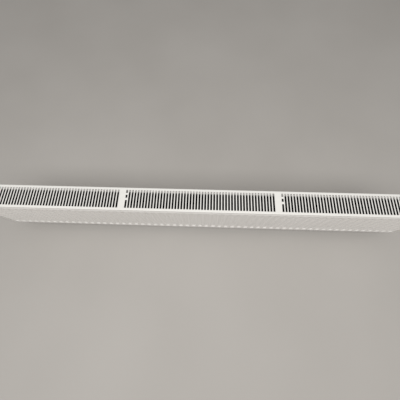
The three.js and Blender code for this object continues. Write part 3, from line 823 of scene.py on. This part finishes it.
def welded_tube(half):
    """A cross tube's profile from end to end, flared to the weld at each panel."""
    flare, waist = 0.004, TAP_TUBE - 0.0006
    return [(-half, TAP_TUBE), (flare - half, waist), (half - flare, waist), (half, TAP_TUBE)]


def socket(reach):
    """The profile of a threaded boss that stands out by its reach, with a chamfer at its mouth."""
    bore, outer, mouth = BOSS["bore"], BOSS["outer"], BOSS["mouth"]
    return [(0, bore), (0, outer - 0.0005), (reach - 0.001, outer), (reach, mouth), (reach, bore)]


def supply_socket():
    low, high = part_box("supply_socket")
    x = (low.x + high.x) / 2
    bore, outer, mouth = BOSS["bore"], BOSS["outer"], BOSS["mouth"]
    profile = [(low.z, bore), (low.z, mouth), (low.z + 0.001, outer)]
    profile += [(high.z - 0.001, outer), (high.z, mouth), (high.z, bore)]
    obj = turned_ring("supply_socket_fine", "z", (x, MID_Y, 0), profile)
    place(obj, "heater", PAINT, "white_paint", "supply_socket")


def swept_tube(name, path, radius, sides=20):
    """A round tube along a path that lies in the plane of X and Z."""
    rings = []
    for i, point in enumerate(path):
        before, after = path[max(i - 1, 0)], path[min(i + 1, len(path) - 1)]
        along = (after - before).normalized()
        across = Vector((0, 1, 0))
        third = along.cross(across)
        turns = [2 * math.pi * k / sides for k in range(sides)]
        rings.append([point + (across * math.cos(t) + third * math.sin(t)) * radius for t in turns])
    return loft(name, rings)


def supply_riser():
    low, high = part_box("supply_riser")
    bend = RISER["bend"]
    x = low.x + RISER["radius"]
    path = [Vector((x, MID_Y, z)) for z in evenly(low.z, TAP_HIGH - bend, 4)]
    for k in range(1, 9):
        angle = math.pi / 2 * k / 8
        out, up = bend * (1 - math.cos(angle)), bend * (1 - math.sin(angle))
        path.append(Vector((x + out, MID_Y, TAP_HIGH - up)))
    path.append(Vector((high.x, MID_Y, TAP_HIGH)))
    obj = swept_tube("supply_riser_fine", path, RISER["radius"])
    place(obj, "heater", PAINT, "white_paint", "supply_riser")


def nipple(which):
    """A pipe nipple: hexagon, and below it the threaded end that a union nut screws on to."""
    node = which + "_nipple"
    low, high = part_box(node)
    x = (low.x + high.x) / 2
    centre = (x, MID_Y, low.z)
    length = high.z - low.z
    outer, root, wide = NIPPLE["outer"], NIPPLE["root"], NIPPLE["hexagon"]
    thread_top, hexagon_top = NIPPLE["thread_top"], NIPPLE["hexagon_top"]
    ripple = thread(**NIPPLE_THREAD)

    def winding(angle, along):
        return ripple(angle, along) if 0.0009 < along < thread_top - 0.0003 else 0.0

    body = [(0.0, root), (0.0008, outer)] + [(p, outer) for p in evenly(0.001, thread_top - 0.0004, 64)]
    body += [(thread_top, root), (thread_top + 0.0012, root)]
    threaded = round_body(node + "_thread", "z", centre, body, 48, winding, 60)
    flats = [(thread_top + 0.001, wide - 0.0017), (thread_top + 0.0018, wide)]
    flats += [(hexagon_top - 0.0008, wide), (hexagon_top, wide - 0.0017)]
    hexagon = round_body(node + "_hexagon", "z", centre, flats, 6)
    shank = [(hexagon_top - 0.0007, SHANK), (length - 0.001, SHANK), (length, SHANK - 0.0007)]
    top = round_body(node + "_top", "z", centre, shank)
    bore = [(-0.001, NIPPLE["bore"]), (length + 0.001, NIPPLE["bore"])]
    cutter = round_body(node + "_bore", "z", centre, bore, 32)
    obj = bored(combine(node + "_fine", [threaded, hexagon, top]), cutter)
    place(obj, "heater", NICKEL, "nickel_plate", node)


def bored(obj, cutter):
    """The object with a cutter's shape taken out of it."""
    modifier = obj.modifiers.new("bore", "BOOLEAN")
    modifier.operation = "DIFFERENCE"
    modifier.solver = "EXACT"
    modifier.use_self = True
    modifier.object = cutter
    bpy.context.view_layer.update()
    apply_modifiers(obj)
    bpy.data.objects.remove(cutter)
    return obj


def seal(node, axis):
    """A round sealing ring with soft edges, in its CAD node's place."""
    low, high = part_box(node)
    size, middle = high - low, (high + low) / 2
    along = size.x if axis == "x" else size.z
    outer, inner = size.y / 2, BOSS["bore"]
    soft = along * 0.3
    profile = [(-along / 2, inner + soft), (-along / 2, outer - soft), (-along / 2 + soft, outer)]
    profile += [(along / 2 - soft, outer), (along / 2, outer - soft), (along / 2, inner + soft)]
    profile += [(along / 2 - soft, inner), (-along / 2 + soft, inner)]
    obj = turned_ring(node + "_fine", axis, middle, profile)
    place(obj, "heater", RUBBER, "black_rubber", node)


# ---------------- plugs and air vent, drawn at the right


def plug_head(name, z):
    """A plug's threaded shank, flange and chamfered hexagon."""
    centre = (TEE_FACE, MID_Y, z)
    shank = [(-0.014, SHANK - 0.0007), (-0.013, SHANK), (0.002, SHANK)]
    flange = [(0.0018, 0.0127), (0.0022, 0.013), (0.0036, 0.013), (0.004, 0.0124)]
    hexagon = [(0.0035, 0.0095), (0.0072, 0.0095), (0.008, 0.0084)]
    return [
        round_body(name + "_shank", "x", centre, shank),
        round_body(name + "_flange", "x", centre, flange, 48),
        round_body(name + "_hexagon", "x", centre, hexagon, 6),
    ]


def blind_plug(side):
    node = side + "_blind_plug"
    obj = combine(node + "_fine", plug_head(node, TAP_LOW))
    if side == "left":
        flip_x(obj)
    place(obj, "heater", NICKEL, "nickel_plate", node)


def vent_plug():
    centre = (TEE_FACE, MID_Y, TAP_HIGH)
    neck_profile = [(0.007, VENT["neck"]), (0.0145, VENT["neck"]), (0.015, VENT["neck"] - 0.0005)]
    neck = round_body("vent_neck", "x", centre, neck_profile)
    bore = [(-0.002, VENT["bore"]), (0.016, VENT["bore"])]
    cutter = round_body("vent_bore", "x", centre, bore, 24)
    obj = bored(combine("vent_plug_fine", plug_head("vent", TAP_HIGH) + [neck]), cutter)
    place(flip_x(obj), "heater", NICKEL, "nickel_plate", "vent_plug")


def bleed_screw():
    """The screw that lets air out: a stem and a square head with a driver slot."""
    centre = Vector((TEE_FACE, MID_Y, TAP_HIGH))
    end, stem_radius, head_radius = VENT["end"], VENT["stem"], VENT["head"]
    stem_profile = [(-0.0017, 0.001), (0, stem_radius), (0.013, stem_radius)]
    stem_profile += [(0.014, stem_radius - 0.0006), (0.016, stem_radius - 0.0006)]
    head_profile = [(0.0153, head_radius - 0.0002), (0.0156, head_radius)]
    head_profile += [(end - 0.0006, head_radius), (end, head_radius - 0.0005)]
    stem = round_body("bleed_stem", "x", centre, stem_profile, 24)
    head = round_body("bleed_head", "x", centre, head_profile, 4)
    slot_profile = [(-0.006, 0.0009), (0.006, 0.0009)]
    slot = round_body("bleed_slot", "y", centre + Vector((end, 0, 0)), slot_profile, 4)
    obj = bored(combine("bleed_screw_fine", [stem, head]), slot)
    place(flip_x(obj), "bleed_screw", BRASS, "brass", "bleed_screw")


def vent_nozzle():
    """The swivelling collar round the vent's neck, with its spout."""
    low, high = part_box("vent_nozzle")
    x0, x1 = -high.x, -low.x
    middle = (x0 + x1) / 2
    bore, outer, edge = NOZZLE["bore"], NOZZLE["outer"], NOZZLE["edge"]
    profile = [(x0, bore), (x0, outer - edge), (x0 + edge, outer)]
    profile += [(x1 - edge, outer), (x1, outer - edge), (x1, bore)]
    collar = turned_ring("nozzle_collar", "x", TAP_LINE, profile)
    tip, root = low.z - TAP_HIGH, SPOUT["root"]
    hole, wide = SPOUT["hole"], SPOUT["outer"]
    spout_profile = [(tip, hole), (tip, wide - 0.0003), (tip + 0.0005, wide), (root, wide), (root, hole)]
    spout = turned_ring("nozzle_spout", "z", (middle, MID_Y, TAP_HIGH), spout_profile, 24)
    obj = flip_x(combine("vent_nozzle_fine", [collar, spout]))
    place(obj, "vent_nozzle", WHITE_PLASTIC, "white_plastic", "vent_nozzle")


# ---------------- valve


def valve_body():
    """The upper right tee: the cross tube, and the long barrel that holds the valve."""
    low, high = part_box("valve_body")
    tube_profile = welded_tube((high.y - low.y) / 2)
    tube = round_body("valve_tube", "y", (TAP_X, MID_Y, TAP_HIGH), tube_profile)
    bore, outer, mouth = 0.008, BOSS["outer"], BOSS["mouth"]
    profile = [(low.x, bore), (low.x, outer - 0.0015), (low.x + 0.002, outer)]
    profile += [(high.x - 0.001, outer), (high.x, mouth), (high.x, bore)]
    barrel = turned_ring("valve_barrel", "x", TAP_LINE, profile)
    place(combine("valve_body_fine", [tube, barrel]), "heater", PAINT, "white_paint", "valve_body")


def valve_insert():
    """The brass insert: a chamfered hexagon, and the threaded nose that the handwheel's nut holds."""
    low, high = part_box("valve_insert")
    centre = TAP_LINE
    face, shoulder, hexagon_end = TEE_FACE, TEE_FACE - 0.013, TEE_FACE + 0.008
    thin, wide, outer = INSERT["sleeve"], INSERT["hexagon"], INSERT["nose"]
    sleeve = [(low.x, thin - 0.0005), (low.x + 0.001, thin), (shoulder, thin)]
    sleeve += [(shoulder + 0.0005, SHANK), (face + 0.003, SHANK)]
    flats = [(face + 0.002, wide - 0.001), (face + 0.0028, wide)]
    flats += [(hexagon_end - 0.0008, wide), (hexagon_end, wide - 0.001)]
    nose_profile = [(hexagon_end - 0.0005, outer - 0.001), (hexagon_end, outer)]
    nose_profile += [(p, outer) for p in evenly(hexagon_end + 0.0001, high.x - 0.0006, 34)]
    nose_profile.append((high.x, outer - 0.001))
    ripple = thread(**INSERT_THREAD)

    def winding(angle, along):
        return ripple(angle, along) if hexagon_end < along < high.x - 0.0005 else 0.0

    shank = round_body("insert_shank", "x", centre, sleeve)
    hexagon = round_body("insert_hexagon", "x", centre, flats, 6)
    nose = round_body("insert_nose", "x", centre, nose_profile, 48, winding, 60)
    bore = [(low.x - 0.001, INSERT["bore"]), (high.x + 0.001, INSERT["bore"])]
    cutter = round_body("insert_bore", "x", centre, bore, 24)
    obj = bored(combine("valve_insert_fine", [shank, hexagon, nose]), cutter)
    place(obj, "heater", BRASS, "brass", "valve_insert")


def valve_spindle():
    low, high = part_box("valve_spindle")
    foot, rod, tip = SPINDLE["foot"], SPINDLE["rod"], SPINDLE["tip"]
    profile = [(low.x, foot - 0.0005), (low.x + 0.0004, foot), (low.x + 0.0026, foot)]
    profile += [(low.x + 0.003, rod), (high.x - 0.0008, rod), (high.x, tip)]
    obj = round_body("valve_spindle_fine", "x", TAP_LINE, profile, 32)
    place(obj, "valve_spindle", NICKEL, "nickel_plate", "valve_spindle")


def handwheel_nut():
    """The white nut behind the handwheel, with grip ribs all round."""
    low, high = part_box("handwheel_nut")
    outer = (high.y - low.y) / 2
    ribs = NUT["ribs"]

    def ripple(angle, along):
        edge = min(along - low.x, high.x - along) / 0.001
        return -NUT["rib"] * (0.5 + 0.5 * math.cos(ribs * angle)) * min(max(edge, 0), 1)

    skin = [(low.x, outer - 0.001), (low.x + 0.001, outer)]
    skin += [(p, outer) for p in evenly(low.x + 0.0015, high.x - 0.0015, 3)]
    skin += [(high.x - 0.001, outer), (high.x, outer - 0.001)]
    shell = round_body("nut_shell", "x", TAP_LINE, skin, ribs * 6, ripple, 50)
    web, wide, narrow = high.x - NUT["web"], NUT["wide"], NUT["narrow"]
    bore = [(low.x - 0.001, wide), (web, wide), (web + 0.0001, narrow), (high.x + 0.001, narrow)]
    cutter = round_body("nut_bore", "x", TAP_LINE, bore)
    place(bored(shell, cutter), "heater", WHITE_PLASTIC, "white_plastic", "handwheel_nut")


def handwheel():
    """The handwheel: a domed cap with eight soft grips and a raised pointer on its end."""
    low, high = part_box("handwheel")
    outer = (high.y - low.y) / 2

    def ripple(angle, along):
        grip = ease((along - low.x - 0.004) / 0.006)
        return -WHEEL["grip"] * grip * (0.5 - 0.5 * math.cos(WHEEL["grips"] * angle)) ** 2

    bore = WHEEL["bore"]
    skin = [(low.x, bore), (low.x, outer - 0.0008), (low.x + 0.0008, outer)]
    skin += [(p, outer) for p in evenly(low.x + 0.002, high.x - 0.004, 9)]
    dome = WHEEL["dome"]
    for k in range(1, 7):
        angle = math.pi / 2 * k / 6
        along = high.x - dome + (dome - 0.0005) * math.sin(angle)
        skin.append((along, outer - dome * (1 - math.cos(angle))))
    skin.append((high.x - 0.0009, outer - 0.006))
    skin.append((high.x - 0.0012, 0.004))
    cap = round_body("wheel_cap", "x", TAP_LINE, skin, 96, ripple, 50)
    hollow = [(low.x - 0.001, bore), (low.x + WHEEL["hollow"], bore)]
    cap = bored(cap, round_body("wheel_hollow", "x", TAP_LINE, hollow))
    mark = [(high.x - 0.002, 0.0022), (high.x - 0.0004, 0.0022), (high.x, 0.0016)]
    pointer = round_body("wheel_pointer", "x", (0, MID_Y, TAP_HIGH + WHEEL["pointer"]), mark, 3)
    obj = combine("handwheel_fine", [cap, pointer])
    place(obj, "handwheel", WHITE_PLASTIC, "white_plastic", "handwheel")


# ---------------- clips, lugs, brackets and latches


def clips():
    for side in SIDES:
        node = "grille_clip_" + side
        place(refined(node, SOFT_EDGE["lid_clip"]), "lid", SPRING, "spring_steel", node)
    for end in ("left", "right"):
        for water in ("front", "rear"):
            for level in ("upper", "lower"):
                node = f"{end}_cover_{water}_clip_{level}"
                clip = refined(node, SOFT_EDGE["cover_clip"])
                place(clip, end + "_cover", SPRING, "spring_steel", node)


def latch_spring(side):
    """A wound wire spring between the latch and the bracket's stop."""
    node = "latch_spring_" + side
    low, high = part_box(node)
    middle = (low + high) / 2
    wire, turns, sides = COIL["wire"], COIL["turns"], COIL["sides"]
    mean = (high.x - low.x) / 2 - wire
    count = turns * COIL["per_turn"]
    rings = []
    for i in range(count + 1):
        t = i / count
        angle = 2 * math.pi * turns * t
        z = low.z + wire + (high.z - low.z - 2 * wire) * ease(t)
        outward, up = Vector((math.cos(angle), math.sin(angle), 0)), Vector((0, 0, 1))
        centre = Vector((middle.x, middle.y, z)) + outward * mean
        around = [2 * math.pi * k / sides for k in range(sides)]
        rings.append([centre + (outward * math.cos(a) + up * math.sin(a)) * wire for a in around])
    obj = loft(node + "_fine", rings, True, 60)
    place(obj, "heater", SPRING, "spring_steel", node)
    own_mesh(obj)


def hangers():
    for side in SIDES:
        for level in ("upper", "lower"):
            node = f"{level}_lug_{side}"
            place(refined(node, SOFT_EDGE["lug"]), "heater", PAINT, "white_paint", node)
        bracket, pad, latch = "wall_bracket_" + side, "bracket_pad_" + side, "bracket_latch_" + side
        place(refined(bracket, SOFT_EDGE["bracket"]), "heater", ZINC, "galvanised_steel", bracket)
        place(refined(pad, SOFT_EDGE["moulding"]), "heater", GREY_PLASTIC, "grey_plastic", pad)
        place(refined(latch, SOFT_EDGE["moulding"]), "latch_" + side, GREY_PLASTIC, "grey_plastic", latch)
        latch_spring(side)


# ---------------- studio

CAMERA = {"x": 0.030, "before_face": 0.273, "above_foot": 1.257, "lens": 21.52}
CAMERA_TURN = {"tilt": 18.83, "yaw": 1.56, "roll": 1.49}  # degrees; tilt is from straight down


def camera():
    """Looks steeply down on the heater from a hand's reach in front of it."""
    tilt, yaw, roll = (math.radians(CAMERA_TURN[k]) for k in ("tilt", "yaw", "roll"))
    straight = Matrix((
        (1, 0, 0),
        (0, -math.cos(tilt), -math.sin(tilt)),
        (0, math.sin(tilt), -math.cos(tilt)),
    ))
    yaw_turn = Matrix((
        (math.cos(yaw), 0, math.sin(yaw)),
        (0, 1, 0),
        (-math.sin(yaw), 0, math.cos(yaw)),
    ))
    roll_turn = Matrix((
        (math.cos(roll), -math.sin(roll), 0),
        (math.sin(roll), math.cos(roll), 0),
        (0, 0, 1),
    ))
    right, down, forward = roll_turn @ yaw_turn @ straight
    data = bpy.data.cameras.new("camera")
    data.sensor_width = 36
    data.lens = CAMERA["lens"]
    data.clip_start = 0.01
    obj = bpy.data.objects.new("camera", data)
    bpy.context.scene.collection.objects.link(obj)
    turn = Matrix((right, -down, -forward)).transposed()
    spot = Vector((CAMERA["x"], FRONT_Y - CAMERA["before_face"], PANEL_LOW.z + CAMERA["above_foot"]))
    obj.matrix_world = Matrix.Translation(spot) @ turn.to_4x4()
    bpy.context.scene.camera = obj


def floor():
    size, drop = 12.0, 0.06
    z = PANEL_LOW.z - drop
    corners = [(-size, -size, z), (size, -size, z), (size, size, z), (-size, size, z)]
    obj = mesh_object("floor", corners, [(0, 1, 2, 3)])
    n = Nodes("floor_paint")
    color = n.mix(n.between(n.noise(1.5, 3), 0, 1), (0.45, 0.43, 0.405), (0.49, 0.47, 0.445))
    roughness = n.between(n.noise(6.0, 2), 0.7, 0.8)
    obj.data.materials.append(n.finish(color, roughness, n.bump(n.noise(90.0, 2), 0.0003, 0.3)))


def area_light(name, spot, target, size, watts, color=(1, 1, 1)):
    data = bpy.data.lights.new(name, "AREA")
    data.shape = "RECTANGLE"
    data.size, data.size_y = size
    data.energy = watts
    data.color = color
    obj = bpy.data.objects.new(name, data)
    bpy.context.scene.collection.objects.link(obj)
    obj.location = spot
    obj.rotation_mode = "QUATERNION"
    obj.rotation_quaternion = (Vector(target) - Vector(spot)).to_track_quat("-Z", "Y")


def plain_colours():
    """Shows white paint as white: the default view transform would turn it grey."""
    bpy.context.scene.view_settings.view_transform = "Standard"


def lights():
    """A soft broad light overhead, two weak ones in front and to the left, and bright surroundings."""
    area_light("ceiling", (0.0, -0.95, 2.2), (0.0, -0.1, 0.0), (3.6, 1.2), 42, WARM_WHITE)
    area_light("room", (0.3, -2.6, 1.2), (0.0, -0.1, 0.0), (3.2, 1.6), 2, (1.0, 0.95, 0.93))
    area_light("window", (-2.8, -1.4, 1.6), (-0.3, -0.1, 0.0), (1.6, 1.6), 3, (0.95, 0.98, 1.0))
    world = bpy.data.worlds.new("studio")
    world.use_nodes = True
    background = world.node_tree.nodes["Background"]
    background.inputs["Color"].default_value = (*WARM_WHITE, 1)
    background.inputs["Strength"].default_value = WORLD_STRENGTH
    bpy.context.scene.world = world


# ---------------- assembly

lid()
for water in ("front", "rear"):
    water_panel(water)
for water in ("front", "rear"):
    convector(water)
for side in ("left", "right"):
    side_cover(side)
for corner in ("top_left", "bottom_left", "bottom_right"):
    tee(corner + "_tee")
supply_socket()
supply_riser()
for which in ("supply", "return"):
    nipple(which)
    seal(which + "_nipple_seal", "z")
for side in ("left", "right"):
    blind_plug(side)
    seal(side + "_blind_plug_seal", "x")
vent_plug()
seal("vent_plug_seal", "x")
bleed_screw()
vent_nozzle()
valve_body()
valve_insert()
seal("valve_insert_seal", "x")
valve_spindle()
handwheel_nut()
handwheel()
clips()
hangers()
camera()
floor()
plain_colours()
lights()
